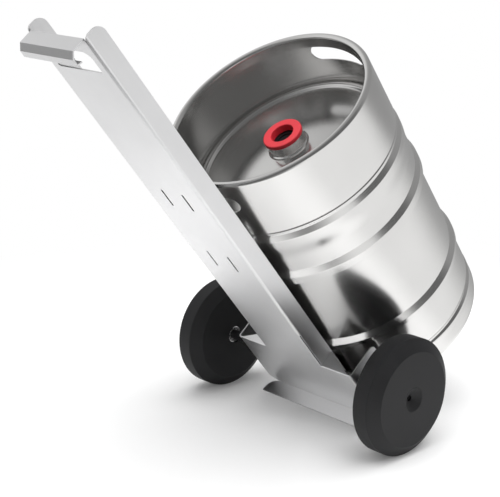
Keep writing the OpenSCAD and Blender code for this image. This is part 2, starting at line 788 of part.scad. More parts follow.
// Half of the head's section, from the side in to the neck
function head(inset) = concat(
    arc(head_middle_r, upper_seam, head_knuckle_r - inset, 0, head_knuckle_end, 8),
    [[head_groove[0] + inset / 4, head_groove[1] - inset]],
    dome(head_edge[0], head_edge[1] - inset, neck_d / 2, head_top - inset, 8)
);

// Lower half of the keg, with its domed bottom
module keg_lower_shell() {
    color("#b9b9b7") in_rest_pose() in_keg_pose() rotate_extrude() difference() {
        polygon(concat([[0, mid_seam]], base(0), [[base_in, lower_seam]], low_side(0)));
        polygon(concat(
            [[0, mid_seam + over]],
            base(keg_wall),
            [for (p = low_side(keg_wall)) if (p[1] > lower_seam + 2 * knuckle_lift) p],
            [[keg_r - keg_wall, mid_seam + over]]
        ));
    }
}

// Upper half of the keg, with its domed head
module keg_upper_shell() {
    color("#b9b9b7") in_rest_pose() in_keg_pose() rotate_extrude() difference() {
        polygon(concat(
            high_side(0),
            [[chime_r - weld_less, upper_seam - weld_rise], [chime_r - weld_less, upper_seam - groove_h],
                [chime_r - groove_less, upper_seam]],
            head(0),
            [[neck_d / 2, mid_seam]]
        ));
        polygon(concat(
            [[neck_d / 2 - over, mid_seam - over], [keg_r - keg_wall, mid_seam - over]],
            high_side(keg_wall),
            head(keg_wall),
            [[neck_d / 2 - over, head_top - keg_wall]]
        ));
    }
}

// Upper chime: skirt with a rolled rim, two hand holes and drain holes
module keg_upper_chime() {
    roll_in = rim_roll_r - chime_wall;
    color("#b9b9b7") in_rest_pose() in_keg_pose() difference() {
        rotate_extrude() polygon(concat(
            [[chime_r - groove_less, upper_seam], [chime_r, upper_seam + groove_h]],
            arc(rim_mid_r, rim_mid_h, rim_roll_r, 0, 180, 12),
            [[rim_mid_r - rim_roll_r, keg_top - rim_lip], [rim_mid_r - roll_in, keg_top - rim_lip]],
            arc(rim_mid_r, rim_mid_h, roll_in, 180, 0, 10),
            [[shoulder_in, upper_seam]]
        ));
        translate([0, keg_d, keg_top - keg_hole_drop - keg_hole_h / 2]) rotate([90, 0, 0])
            linear_extrude(2 * keg_d) rounded_plate(keg_hole_w, keg_hole_h, keg_hole_h / 2 - 0.1);
        translate([0, keg_d, upper_seam + top_drain_h]) rotate([90, 0, 0])
            cylinder(d = drain_d, h = 2 * keg_d);
    }
}

// Profile of the lower chime's side, from the seam down to its skirt, set in by the wall
function foot_side(inset) = concat(
    slope(keg_r - foot_groove - inset, lower_seam, keg_r + foot_bead - inset,
        lower_seam - foot_bead_rise, 5),
    [[keg_r + foot_bead - inset, lower_seam - foot_bead_low],
        [keg_r - inset, lower_seam - foot_bead_end]]
);

// Lower chime: skirt with a rolled foot and drain holes
module keg_lower_chime() {
    roll_h = keg_bottom + foot_roll_r;
    roll_mid = keg_r - foot_roll_r;
    color("#b9b9b7") in_rest_pose() in_keg_pose() difference() {
        rotate_extrude() polygon(concat(
            foot_side(0),
            arc(roll_mid, roll_h, foot_roll_r, 0, -90, 8),
            [[roll_mid - foot_flat, keg_bottom], [roll_mid - foot_flat, keg_bottom + chime_wall]],
            arc(roll_mid, roll_h, foot_roll_r - chime_wall, -90, 0, 8),
            reversed(foot_side(chime_wall))
        ));
        translate([-keg_d, 0, keg_bottom + foot_drain_h]) rotate([0, 90, 0])
            cylinder(d = drain_d, h = 2 * keg_d);
    }
}

// Neck welded into the keg's head
module keg_neck() {
    color("#c8c8c6") in_rest_pose() in_keg_pose() rotate_extrude() polygon([
        [neck_bore / 2, head_top - 2 * neck_flare], [neck_d / 2, head_top - 2 * neck_flare],
        [neck_d / 2, head_top], [neck_d / 2 + neck_flare, head_top + 0.3],
        [neck_d / 2, head_top + neck_flare], [neck_d / 2, neck_top], [neck_bore / 2, neck_top]
    ]);
}

// Red ring pressed into the neck's mouth
module neck_cap_ring() {
    color("crimson") in_rest_pose() in_keg_pose() rotate_extrude() polygon([
        [cap_ring_bore / 2, neck_top - ring_skirt], [neck_bore / 2 - play, neck_top - ring_skirt],
        [neck_bore / 2 - play, neck_top], [cap_ring_d / 2, neck_top],
        [cap_ring_d / 2, neck_top + cap_ring_t - 2], [cap_ring_d / 2 - 2, neck_top + cap_ring_t],
        [cap_ring_bore / 2 + 1.5, neck_top + cap_ring_t], [cap_ring_bore / 2, neck_top + cap_ring_t - 1.5]
    ]);
}

// Cup of the valve, with a lip over the plunger and a socket for the spear tube
module valve_body() {
    outer_r = valve_bore_r + 2;
    color("gray") in_rest_pose() in_keg_pose() rotate_extrude() polygon([
        [spear_d / 2, valve_floor], [outer_r, valve_floor], [outer_r, flange_h],
        [neck_bore / 2 - play, flange_h], [neck_bore / 2 - play, lock_h], [valve_lip_r, lock_h],
        [valve_lip_r, lock_h - valve_lip_t], [valve_bore_r, lock_h - valve_lip_t],
        [valve_bore_r, valve_floor + floor_t], [spear_d / 2, valve_floor + floor_t]
    ]);
}

// Split ring that locks the valve in the neck
module valve_lock_ring() {
    color("silver") in_rest_pose() in_keg_pose() translate([0, 0, lock_h]) difference() {
        tube(neck_bore / 2 - play, neck_bore / 2 - 3, lock_t);
        translate([0, -3, -over]) cube([neck_bore, 6, lock_t + 2 * over]);
    }
}

// Sealing plunger, pushed down when the keg is tapped
module valve_plunger() {
    color("#1c1c1c") in_rest_pose() in_keg_pose() {
        translate([0, 0, plunger_top - plunger_t]) cylinder(r = plunger_d / 2, h = plunger_t);
        translate([0, 0, plunger_top - plunger_t - stem_len])
            cylinder(r = plunger_stem_r, h = stem_len + over);
    }
}

// Ring of points round the spring's wire at an angle along the helix
function spring_ring(a, sides) =
    let (height = spring_low + clear + spring_wire / 2
        + (spring_high - spring_low - 2 * clear - spring_wire) * a / (360 * spring_turns))
    [for (k = [0:sides - 1]) let (b = 360 * k / sides, r = spring_r + spring_wire / 2 * cos(b))
        [r * cos(a), r * sin(a), height + spring_wire / 2 * sin(b)]];

// Spring round the plunger's stem, one unbroken helical wire
module valve_spring() {
    sides = 6;
    step = 15;
    rings = spring_turns * 360 / step;
    points = [for (i = [0:rings]) each spring_ring(i * step, sides)];
    side_faces = [for (i = [0:rings - 1], k = [0:sides - 1], half = [0, 1])
        let (a = i * sides + k, b = i * sides + (k + 1) % sides)
        half == 0 ? [a, b, b + sides] : [a, b + sides, a + sides]];
    start_faces = [for (k = [1:sides - 2]) [0, k + 1, k]];
    last = rings * sides;
    end_faces = [for (k = [1:sides - 2]) [last, last + k, last + k + 1]];
    color("silver") in_rest_pose() in_keg_pose()
        polyhedron(points, concat(side_faces, start_faces, end_faces));
}

// Tube from the valve down to the bottom of the keg
module spear_tube() {
    color("silver") in_rest_pose() in_keg_pose() translate([0, 0, spear_low])
        tube(spear_d / 2 - play, spear_d / 2 - spear_wall, valve_floor + floor_t - spear_low);
}

frame_sheet();
toe_plate();
axle();
axle_collars();
collar_grub_screws();
axle_spacers();
bearing_inner_rings();
bearing_distance_sleeves();
axle_end_washers();
axle_end_screws();
wheel("left");  // wheel_left
bearing_outer_rings("left");  // bearing_outer_rings_left
bearing_balls("left");  // bearing_balls_left
hub_cap("left");  // hub_cap_left
wheel("right");  // wheel_right
bearing_outer_rings("right");  // bearing_outer_rings_right
bearing_balls("right");  // bearing_balls_right
hub_cap("right");  // hub_cap_right
catch_yoke();
catch_pin();
catch_pin_clips();
rim_catch();
keg_lower_shell();
keg_upper_shell();
keg_upper_chime();
keg_lower_chime();
keg_neck();
neck_cap_ring();
valve_body();
valve_lock_ring();
valve_plunger();
valve_spring();
spear_tube();
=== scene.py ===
import json
import math

import bpy
from mathutils import Matrix, Vector


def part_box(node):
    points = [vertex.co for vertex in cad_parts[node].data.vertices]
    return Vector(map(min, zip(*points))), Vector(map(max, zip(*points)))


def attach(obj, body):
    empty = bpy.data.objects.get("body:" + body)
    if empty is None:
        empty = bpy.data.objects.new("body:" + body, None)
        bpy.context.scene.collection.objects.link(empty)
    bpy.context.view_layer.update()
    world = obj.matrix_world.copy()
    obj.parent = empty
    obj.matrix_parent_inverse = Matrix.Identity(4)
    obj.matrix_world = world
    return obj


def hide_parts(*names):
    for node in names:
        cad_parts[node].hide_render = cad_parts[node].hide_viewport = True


bl_info = {
    "name": "Keg trolley",
    "version": (1, 0, 0),
    "blender": (4, 5, 0),
    "location": "View3D > Sidebar > Keg trolley",
    "description": "Smooth steel, tyres and a keg for a two-wheeled keg trolley",
    "category": "Object",
}

WHITE = (1, 1, 1, 1)
# Metres from the object's middle over which the floor turns plain white for the camera
CAMERA_FADE = (0.75, 1.35)
# Metres from there over which the floor that steel mirrors turns into a painted grey glow, near and
# far
MIRROR_FADE = (0.45, 0.85)
FAR_MIRROR_FADE = (1.7, 2.8)
# Share of plain white in the floor beside the object, as the camera sees it
NEAR_WHITE = 0.08
# Grey of the studio that lights what isn't mirrored
AMBIENT = (0.46, 0.46, 0.46, 1)
# The camera's place in metres, how far it is turned from the front, and how far it looks down
EYE = (1.70706, -1.65873, 1.05590)
EYE_TURN = math.radians(46.750)
EYE_DOWN = math.radians(16.237)
LENS = 95.71
# A rolling hoop's fine line, step and fall: heights over the lower seam, depths under the upper
LOW_HOOP = (0.0805, 0.0822, 0.083, 0.085, 0.094, 0.107)
HIGH_HOOP = (0.1355, 0.1338, 0.133, 0.130, 0.114, 0.101)

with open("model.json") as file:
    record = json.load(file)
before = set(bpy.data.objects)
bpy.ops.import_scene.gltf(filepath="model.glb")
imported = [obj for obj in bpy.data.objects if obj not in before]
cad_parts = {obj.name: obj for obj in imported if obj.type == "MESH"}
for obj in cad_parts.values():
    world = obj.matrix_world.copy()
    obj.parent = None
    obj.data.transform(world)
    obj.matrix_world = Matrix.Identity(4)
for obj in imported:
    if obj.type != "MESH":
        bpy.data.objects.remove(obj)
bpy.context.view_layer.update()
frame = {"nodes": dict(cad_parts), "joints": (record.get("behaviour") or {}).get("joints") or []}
wheel_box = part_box("wheel_right")
lift_axis = next(j for j in frame["joints"] if j["name"] == "keg_lift")["axis"]


class TrolleySizes(bpy.types.PropertyGroup):
    """Sizes of the trolley and the place of its wheels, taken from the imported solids"""

    wheel_radius: bpy.props.FloatProperty(
        name="Wheel radius", description="Radius of a wheel over its tread",
        default=(wheel_box[1][2] - wheel_box[0][2]) / 2, unit="LENGTH")
    axle_y: bpy.props.FloatProperty(
        name="Axle position", description="Distance of the axle in front of the origin",
        default=(wheel_box[1][1] + wheel_box[0][1]) / 2, unit="LENGTH")
    wheel_in: bpy.props.FloatProperty(
        name="Wheel's inner face", description="Distance of a wheel's inner face from the middle",
        default=wheel_box[0][0], unit="LENGTH")
    wheel_out: bpy.props.FloatProperty(
        name="Wheel's outer face", description="Distance of a wheel's outer face from the middle",
        default=wheel_box[1][0], unit="LENGTH")
    tilt: bpy.props.FloatProperty(
        name="Tilt", description="Angle that the trolley is tipped back by",
        default=math.radians(38.3), subtype="ANGLE")
    edge_round: bpy.props.FloatProperty(
        name="Edge rounding", description="Rounding of the sheet's cut edges",
        default=0.0003, unit="LENGTH")


class KegSizes(bpy.types.PropertyGroup):
    """Sizes of the keg, with heights along its axis from the point level with the axle"""

    tilt: bpy.props.FloatProperty(
        name="Tilt", description="Angle between the keg's axis and the vertical",
        default=math.atan2(-lift_axis[1], lift_axis[2]), subtype="ANGLE")
    axis_y: bpy.props.FloatProperty(
        name="Axis", description="Distance of the keg's axis in front of the axle",
        default=0.211369, unit="LENGTH")
    body_radius: bpy.props.FloatProperty(
        name="Body radius", description="Radius between the hoops", default=0.1977, unit="LENGTH")
    hoop_radius: bpy.props.FloatProperty(
        name="Hoop radius", description="Radius over the rolling hoops", default=0.205,
        unit="LENGTH")
    chime_radius: bpy.props.FloatProperty(
        name="Chime radius", description="Radius of the upper chime", default=0.2015, unit="LENGTH")
    bottom: bpy.props.FloatProperty(
        name="Bottom", description="Height of the keg's foot", default=-0.112, unit="LENGTH")
    low_seam: bpy.props.FloatProperty(
        name="Lower seam", description="Height of the seam above the lower chime", default=-0.052,
        unit="LENGTH")
    high_seam: bpy.props.FloatProperty(
        name="Upper seam", description="Height of the seam below the upper chime", default=0.354,
        unit="LENGTH")
    top: bpy.props.FloatProperty(
        name="Top", description="Height of the keg's rim", default=0.480, unit="LENGTH")


class Finishes(bpy.types.PropertyGroup):
    """Colours of the finishes"""

    sheet: bpy.props.FloatVectorProperty(
        name="Sheet steel", description="Colour of the trolley's satin sheet",
        default=(0.80, 0.80, 0.805), subtype="COLOR", size=3)
    keg: bpy.props.FloatVectorProperty(
        name="Keg steel", description="Colour of the keg's stainless steel",
        default=(0.74, 0.735, 0.725), subtype="COLOR", size=3)
    tyre: bpy.props.FloatVectorProperty(
        name="Tyre", description="Colour of the solid tyres",
        default=(0.013, 0.013, 0.014), subtype="COLOR", size=3)
    cap: bpy.props.FloatVectorProperty(
        name="Cap ring", description="Colour of the ring at the keg's neck",
        default=(0.60, 0.028, 0.042), subtype="COLOR", size=3)


def sizes():
    return bpy.context.scene.keg_trolley_sizes


def keg_sizes():
    return bpy.context.scene.keg_trolley_keg


def colours():
    return bpy.context.scene.keg_trolley_finishes


# Placing


def upright_place():
    """Where the upright trolley's frame stands in the rest pose."""
    s = sizes()
    return Matrix.Translation((0, s.axle_y, s.wheel_radius)) @ Matrix.Rotation(s.tilt, 4, "X")


def keg_place():
    """Where the keg's own frame stands in the rest pose."""
    lean = keg_sizes().tilt - sizes().tilt
    return (upright_place() @ Matrix.Translation((0, keg_sizes().axis_y, 0))
            @ Matrix.Rotation(lean, 4, "X"))


def wheel_place(side):
    """Turns what is drawn about Z to lie along the axle, from the inner face outward."""
    s = sizes()
    turn = Matrix.Rotation(side * math.pi / 2, 4, "Y")
    return Matrix.Translation((side * s.wheel_in, s.axle_y, s.wheel_radius)) @ turn


def put(piece, place):
    piece.matrix_world = place
    pick(piece)
    bpy.ops.object.transform_apply(location=True, rotation=True, scale=True)
    return piece


# Modelling helpers


def pick(piece):
    bpy.ops.object.select_all(action="DESELECT")
    piece.select_set(True)
    bpy.context.view_layer.objects.active = piece


def named(piece, name):
    piece.name = name
    piece.data.name = name
    return piece


def apply_modifier(piece, name, kind, **settings):
    pick(piece)
    modifier = piece.modifiers.new(name, kind)
    for key, value in settings.items():
        setattr(modifier, key, value)
    bpy.ops.object.modifier_apply(modifier=modifier.name)


def softened(corners, closed=False, steps=6):
    """Points of a profile through corners (radius, height, rounding), with roundings drawn in."""
    points = []
    count = len(corners)
    for i, (radius, height, rounding) in enumerate(corners):
        corner = Vector((radius, height))
        if not rounding or (not closed and i in (0, count - 1)):
            points.append(corner)
            continue
        back = Vector(corners[i - 1][:2]) - corner
        on = Vector(corners[(i + 1) % count][:2]) - corner
        half = back.angle(on) / 2
        reach = min(rounding / math.tan(half), 0.48 * back.length, 0.48 * on.length)
        first, last = corner + back.normalized() * reach, corner + on.normalized() * reach
        for k in range(steps + 1):
            t = k / steps
            points.append(first * (1 - t) ** 2 + corner * 2 * t * (1 - t) + last * t ** 2)
    return points


def slope(r0, h0, r1, h1, steps=12):
    """Corners of a soft S-shaped slope between two radii."""
    return [(r0 + (r1 - r0) * (1 - math.cos(math.pi * i / steps)) / 2,
             h0 + (h1 - h0) * i / steps, 0) for i in range(steps + 1)]


def arc(r, h, radius, start, end, steps=12):
    """Corners of an arc about a point, its angles in degrees from the outward radius."""
    turn = [math.radians(start + (end - start) * i / steps) for i in range(steps + 1)]
    return [(r + radius * math.cos(a), h + radius * math.sin(a), 0) for a in turn]


def turned(name, corners, closed=True, segments=192, sharp=35):
    """A piece turned round Z from a profile: a line is extruded point by point and spun."""
    points = softened(corners, closed)
    if closed:
        points.append(points[0])
    bpy.ops.object.select_all(action="DESELECT")
    bpy.ops.mesh.primitive_plane_add(size=0.01)
    piece = named(bpy.context.active_object, name)
    bpy.ops.object.mode_set(mode="EDIT")
    bpy.ops.mesh.select_all(action="SELECT")
    bpy.ops.mesh.merge(type="CENTER")
    bpy.ops.transform.translate(value=(points[0].x, 0, points[0].y))
    for before, after in zip(points, points[1:]):
        step = after - before
        if step.length < 1e-7:
            continue
        bpy.ops.mesh.extrude_vertices_move(TRANSFORM_OT_translate={"value": (step.x, 0, step.y)})
    bpy.ops.mesh.select_all(action="SELECT")
    bpy.ops.mesh.spin(steps=segments, angle=2 * math.pi, center=(0, 0, 0), axis=(0, 0, 1))
    bpy.ops.mesh.select_all(action="SELECT")
    bpy.ops.mesh.remove_doubles(threshold=2e-6)
    bpy.ops.mesh.normals_make_consistent(inside=False)
    bpy.ops.object.mode_set(mode="OBJECT")
    smooth(piece, sharp)
    return piece


def smooth(piece, sharp=35):
    pick(piece)
    bpy.ops.object.shade_smooth_by_angle(angle=math.radians(sharp))
    apply_modifier(piece, "Flat faces", "WEIGHTED_NORMAL", keep_sharp=True, weight=100)


def slot_cutter(width, height, depth, place):
    """A bar with round ends, to cut a hole with."""
    bpy.ops.object.select_all(action="DESELECT")
    bpy.ops.mesh.primitive_cube_add(size=1)
    cutter = bpy.context.active_object
    cutter.scale = (width, depth, height)
    bpy.ops.object.transform_apply(scale=True)
    bpy.ops.object.mode_set(mode="EDIT")
    bpy.ops.mesh.select_all(action="DESELECT")
    bpy.ops.object.mode_set(mode="OBJECT")
    for edge in cutter.data.edges:
        a, b = (cutter.data.vertices[v].co for v in edge.vertices)
        edge.select = abs(a.y - b.y) > depth / 2
    bpy.ops.object.mode_set(mode="EDIT")
    bpy.ops.mesh.bevel(offset=height / 2 * 0.995, segments=16, affect="EDGES")
    bpy.ops.object.mode_set(mode="OBJECT")
    return put(cutter, place)


def cut(piece, cutter):
    apply_modifier(piece, "Cut", "BOOLEAN", operation="DIFFERENCE", object=cutter, solver="EXACT")
    bpy.data.objects.remove(cutter)


def clean_copy(node, name, rounding=0.0, sharp=25):
    """The solid's own faces as one clean mesh, with its sharp edges rounded a little."""
    piece = bpy.data.objects.new(name, frame["nodes"][node].data.copy())
    bpy.context.scene.collection.objects.link(piece)
    named(piece, name)
    piece.data.materials.clear()
    pick(piece)
    bpy.ops.object.mode_set(mode="EDIT")
    bpy.ops.mesh.select_all(action="SELECT")
    bpy.ops.mesh.customdata_custom_splitnormals_clear()
    bpy.ops.mesh.remove_doubles(threshold=1e-5)
    bpy.ops.mesh.dissolve_limited(angle_limit=math.radians(0.5))
    bpy.ops.object.mode_set(mode="OBJECT")
    if rounding:
        apply_modifier(piece, "Rounded edges", "BEVEL", width=rounding, segments=2,
                       limit_method="ANGLE", angle_limit=math.radians(50))
    smooth(piece, sharp)
    return piece


def finish_piece(piece, body, material, slot, *nodes):
    piece.data.materials.clear()
    piece.data.materials.append(material)
    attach(piece, body)
    if nodes:
        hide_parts(*nodes)


# Finishes


def finish(name):
    """A material with its shader, ready for the nodes that vary it."""
    old = bpy.data.materials.get(name)
    if old:
        return old, None, None, None
    material = bpy.data.materials.new(name)
    material.use_nodes = True
    nodes, links = material.node_tree.nodes, material.node_tree.links
    return material, nodes, links, nodes["Principled BSDF"]


def grain_coordinates(nodes, links, tilt, scale):
    """Object coordinates tipped upright, and the same stretched along the grain."""
    place = nodes.new("ShaderNodeTexCoord")
    upright = nodes.new("ShaderNodeMapping")
    upright.inputs["Rotation"].default_value = (-tilt, 0, 0)
    stretch = nodes.new("ShaderNodeMapping")
    stretch.inputs["Scale"].default_value = scale
    links.new(place.outputs["Object"], upright.inputs["Vector"])
    links.new(upright.outputs["Vector"], stretch.inputs["Vector"])
    return upright.outputs["Vector"], stretch.outputs["Vector"]


def noise(nodes, links, vector, scale, detail):
    node = nodes.new("ShaderNodeTexNoise")
    node.inputs["Scale"].default_value = scale
    node.inputs["Detail"].default_value = detail
    links.new(vector, node.inputs["Vector"])
    return node.outputs["Fac"]


def uneven_gloss(nodes, links, shader, factor, roughness, spread):
    """Lets the roughness follow a noise, by as much as spread to either side."""
    node = nodes.new("ShaderNodeMapRange")
    node.inputs["To Min"].default_value = roughness - spread
    node.inputs["To Max"].default_value = roughness + spread
    links.new(factor, node.inputs["Value"])
    links.new(node.outputs["Result"], shader.inputs["Roughness"])


def relief(nodes, links, shader, factor, strength, height):
    """Lets light fall as if the surface rose with a noise, by a height in metres."""
    node = nodes.new("ShaderNodeBump")
    node.inputs["Strength"].default_value = strength
    node.inputs["Distance"].default_value = height
    links.new(factor, node.inputs["Height"])
    links.new(node.outputs["Normal"], shader.inputs["Normal"])


def uneven_tone(nodes, links, shader, factor, colour, reach, shares):
    """Lets the colour follow a noise, between two shares of itself."""
    ramp = nodes.new("ShaderNodeValToRGB")
    for element, position, share in zip(ramp.color_ramp.elements, reach, shares):
        element.position = position
        element.color = (*[min(1.0, c * share) for c in colour], 1)
    links.new(factor, ramp.inputs["Fac"])
    links.new(ramp.outputs["Color"], shader.inputs["Base Color"])


def steel(name, colour, roughness, tilt, grain, spread=0.04, bump=0.03):
    """Satin steel: grain lines in its roughness and relief, and faint clouding in its colour."""
    material, nodes, links, shader = finish(name)
    if nodes is None:
        return material
    shader.inputs["Metallic"].default_value = 1.0
    upright, stretched = grain_coordinates(nodes, links, tilt, grain)
    lines = noise(nodes, links, stretched, 1.0, 4.0)
    clouds = noise(nodes, links, upright, 9.0, 3.0)
    uneven_gloss(nodes, links, shader, lines, roughness, spread)
    relief(nodes, links, shader, lines, bump, 0.0003)
    uneven_tone(nodes, links, shader, clouds, colour, (0.3, 0.7), (0.97, 1.02))
    return material


def dull(name, colour, roughness, grain=900.0, bump=0.12, spread=0.06, shade=0.12, specular=0.5):
    """Rubber, plastic or paint: fine pebbling, and a little unevenness in tone and gloss."""
    material, nodes, links, shader = finish(name)
    if nodes is None:
        return material
    shader.inputs["Specular IOR Level"].default_value = specular
    place = nodes.new("ShaderNodeTexCoord").outputs["Object"]
    pebbles = noise(nodes, links, place, grain, 2.0)
    clouds = noise(nodes, links, place, 14.0, 5.0)
    uneven_gloss(nodes, links, shader, clouds, roughness, spread)
    relief(nodes, links, shader, pebbles, bump, 0.0002)
    uneven_tone(nodes, links, shader, clouds, colour, (0.35, 0.65), (1 - shade, 1 + shade))
    return material


def sheet_finish():
    return steel("Satin sheet steel", colours().sheet, 0.34, sizes().tilt, (260, 260, 14))


def keg_finish():
    return steel("Keg steel", colours().keg, 0.20, keg_sizes().tilt, (5, 5, 520), spread=0.03)


def fitting_finish():
    return steel("Machined steel", (0.70, 0.70, 0.70), 0.27, sizes().tilt, (700, 40, 40))


def tyre_finish():
    return dull("Charcoal tyre", colours().tyre, 0.58, specular=0.3)


def black_finish():
    return dull("Satin black paint", (0.014, 0.014, 0.015), 0.38, grain=1500, bump=0.06)


def cap_finish():
    return dull("Red cap ring", colours().cap, 0.38, grain=1200, bump=0.04, shade=0.05)


# Pieces


class KEGTROLLEY_OT_sheet(bpy.types.Operator):
    """Folded frame sheet and toe plate, with softly rounded cut edges"""

    bl_idname = "keg_trolley.sheet"
    bl_label = "Frame sheet and toe plate"

    def execute(self, context):
        rounding = sizes().edge_round
        for node in ("frame_sheet", "toe_plate"):
            piece = clean_copy(node, f"satin_{node}", rounding)
            finish_piece(piece, "trolley", sheet_finish(), "satin_sheet", node)
        return {"FINISHED"}


class KEGTROLLEY_OT_wheels(bpy.types.Operator):
    """Solid tyres with bevelled edges, and their dished hub caps"""

    bl_idname = "keg_trolley.wheels"
    bl_label = "Wheels"

    def execute(self, context):
        s = sizes()
        r, width = s.wheel_radius, s.wheel_out - s.wheel_in
        bore, bearing, cap_seat = 0.0155, 0.01755, 0.02355
        bearing_depth, cap_depth = 0.015, 0.008
        face, bevel = 0.0905, 0.016
        tyre = [
            (bore, bearing_depth, 0), (bearing, bearing_depth, 0), (bearing, 0, 0.0006),
            (face, 0, 0.0016), (r, bevel, 0.0030), (r, width - bevel, 0.0030),
            (face, width, 0.0016), (cap_seat, width, 0.0008), (cap_seat, width - cap_depth, 0),
            (bore, width - cap_depth, 0),
        ]
        hole, cap_r, cap_back = 0.0055, 0.0235, 0.056
        cap = [
            (hole, 0.0535, 0.0006), (0.0229, 0.0639, 0.0007), (cap_r, 0.0636, 0),
            (cap_r, cap_back, 0), (0.0175, cap_back, 0), (hole, 0.0512, 0),
        ]
        for side, word in ((1, "right"), (-1, "left")):
            body = f"{word}_wheel"
            piece = put(turned(f"tyre_{word}", tyre), wheel_place(side))
            finish_piece(piece, body, tyre_finish(), "wheel_rubber", f"wheel_{word}")
            piece = put(turned(f"dished_cap_{word}", cap, segments=96), wheel_place(side))
            finish_piece(piece, body, tyre_finish(), "black_plastic", f"hub_cap_{word}")
        return {"FINISHED"}


def hoop_corners(body, hoop, after, heights):
    """Corners of a rolling hoop: a fine line round the body, a short step out and a long fall."""
    line, line_end, step, full, fall, end = heights
    return [
        (body, line, 0), (body - 0.0012, line_end, 0), *slope(body, step, hoop, full, 8),
        (hoop, fall, 0.004), (after, end, 0.004),
    ]


def keg_side(k):
    """Corners of the keg's side, from the seam above the lower chime to the one under the upper."""
    body, chime, low, high = k.body_radius, k.chime_radius, k.low_seam, k.high_seam
    waist, shoulder = body + 0.0023, chime + 0.0016
    weld_dip, weld_bead = chime - 0.0027, chime - 0.0003
    return [
        *slope(body - 0.003, low, body, low + 0.010),
        *hoop_corners(body, k.hoop_radius - 0.0012, body, [low + h for h in LOW_HOOP]),
        *hoop_corners(body, k.hoop_radius, waist, [high - h for h in HIGH_HOOP]),
        *slope(waist, high - 0.070, shoulder, high - 0.032),
        (shoulder, high - 0.021, 0.005), (weld_dip, high - 0.0095, 0.003),
        (weld_dip, high - 0.0065, 0.001), (weld_bead, high - 0.0048, 0.001),
        (weld_bead, high - 0.0018, 0.0006), (chime - 0.0014, high, 0),
    ]


def keg_base(k, edge=0.1856, drop=0.04205, dome=0.035):
    """Corners of the domed bottom, from its middle out to the side."""
    low = k.low_seam
    knuckle, knuckle_radius, side = 0.1809, 0.012, 0.1929
    corners = [(edge * t, low - drop + dome * t * t, 0) for t in [i / 12 for i in range(13)]]
    return corners + [*arc(knuckle, low + 0.004, knuckle_radius, -64, 0, 8), (side, low, 0)]


def keg_head(k, edge=0.1805, span=0.1445, dome=0.0228, neck=0.036):
    """Corners of the head, from its knuckle over the groove and the dome in to the neck."""
    high = k.high_seam
    knuckle, knuckle_radius = 0.1906, 0.009
    corners = [*arc(knuckle, high, knuckle_radius, 0, 150, 14), (0.1815, high + 0.0036, 0)]
    for t in [i / 16 for i in range(17)]:
        radius = edge - span * t
        rise = dome * (1 - (radius / edge) ** 2) / (1 - (neck / edge) ** 2)
        corners.append((radius, high + 0.0042 + rise, 0))
    return corners + [(neck, high + 0.022, 0)]


class KEGTROLLEY_OT_keg_body(bpy.types.Operator):
    """Keg's side with its two rolling hoops, domed head and domed bottom"""

    bl_idname = "keg_trolley.keg_body"
    bl_label = "Keg body"

    def execute(self, context):
        k = keg_sizes()
        profile = [*keg_base(k), *keg_side(k), *keg_head(k)]
        piece = put(turned("keg_body", profile, closed=False), keg_place())
        finish_piece(piece, "keg", keg_finish(), "keg_steel", "keg_lower_shell", "keg_upper_shell")
        return {"FINISHED"}


class KEGTROLLEY_OT_chimes(bpy.types.Operator):
    """Upper chime with a rolled rim and hand holes, and the lower chime with a rolled foot"""

    bl_idname = "keg_trolley.chimes"
    bl_label = "Keg chimes"

    def execute(self, context):
        k = keg_sizes()
        side, low, high = k.chime_radius, k.low_seam, k.high_seam
        wall, rim_roll, rim_inside, lip_end = 0.0018, 0.0072, 0.0054, k.top - 0.025
        rim_r, rim_h = side - rim_roll, k.top - rim_roll
        upper = [
            (side - 0.0014, high, 0.0003), (side, high + 0.0020, 0.0006),
            *arc(rim_r, rim_h, rim_roll, 0, 180, 20),
            (rim_r - rim_roll, lip_end, 0.0006), (rim_r - rim_inside, lip_end, 0.0006),
            *arc(rim_r, rim_h, rim_inside, 180, 0, 14),
            (side - wall, high, 0.0003),
        ]
        piece = turned("upper_chime", upper, segments=256)
        hole_width, hole_height, hole_drop = 0.130, 0.035, 0.049
        for way in (1, -1):
            place = Matrix.Translation((0, way * 0.2, k.top - hole_drop))
            cut(piece, slot_cutter(hole_width, hole_height, 0.06, place))
        apply_modifier(piece, "Soft edges", "BEVEL", width=0.0006, segments=3,
                       limit_method="ANGLE", angle_limit=math.radians(60))
        smooth(piece, 30)
        put(piece, keg_place())
        finish_piece(piece, "keg", keg_finish(), "keg_steel", "keg_upper_chime")
        body = k.body_radius
        roll = 0.022
        roll_r, roll_h, foot_in = body - roll, k.bottom + roll, body - roll - 0.008
        bead, bead_inside = body + 0.0004, body - 0.0014
        lower = [
            *slope(body - 0.003, low, bead, low - 0.008, 8),
            (bead, low - 0.012, 0.004), (body, low - 0.018, 0.004),
            *arc(roll_r, roll_h, roll, 0, -90, 16),
            (foot_in, k.bottom, 0.0006), (foot_in, k.bottom + wall, 0.0006),
            *arc(roll_r, roll_h, roll - wall, -90, 0, 14),
            (body - wall, low - 0.018, 0), (bead_inside, low - 0.012, 0),
            *slope(bead_inside, low - 0.008, body - 0.0048, low, 8),
        ]
        piece = put(turned("lower_chime", lower), keg_place())
        finish_piece(piece, "keg", keg_finish(), "keg_steel", "keg_lower_chime")
        return {"FINISHED"}


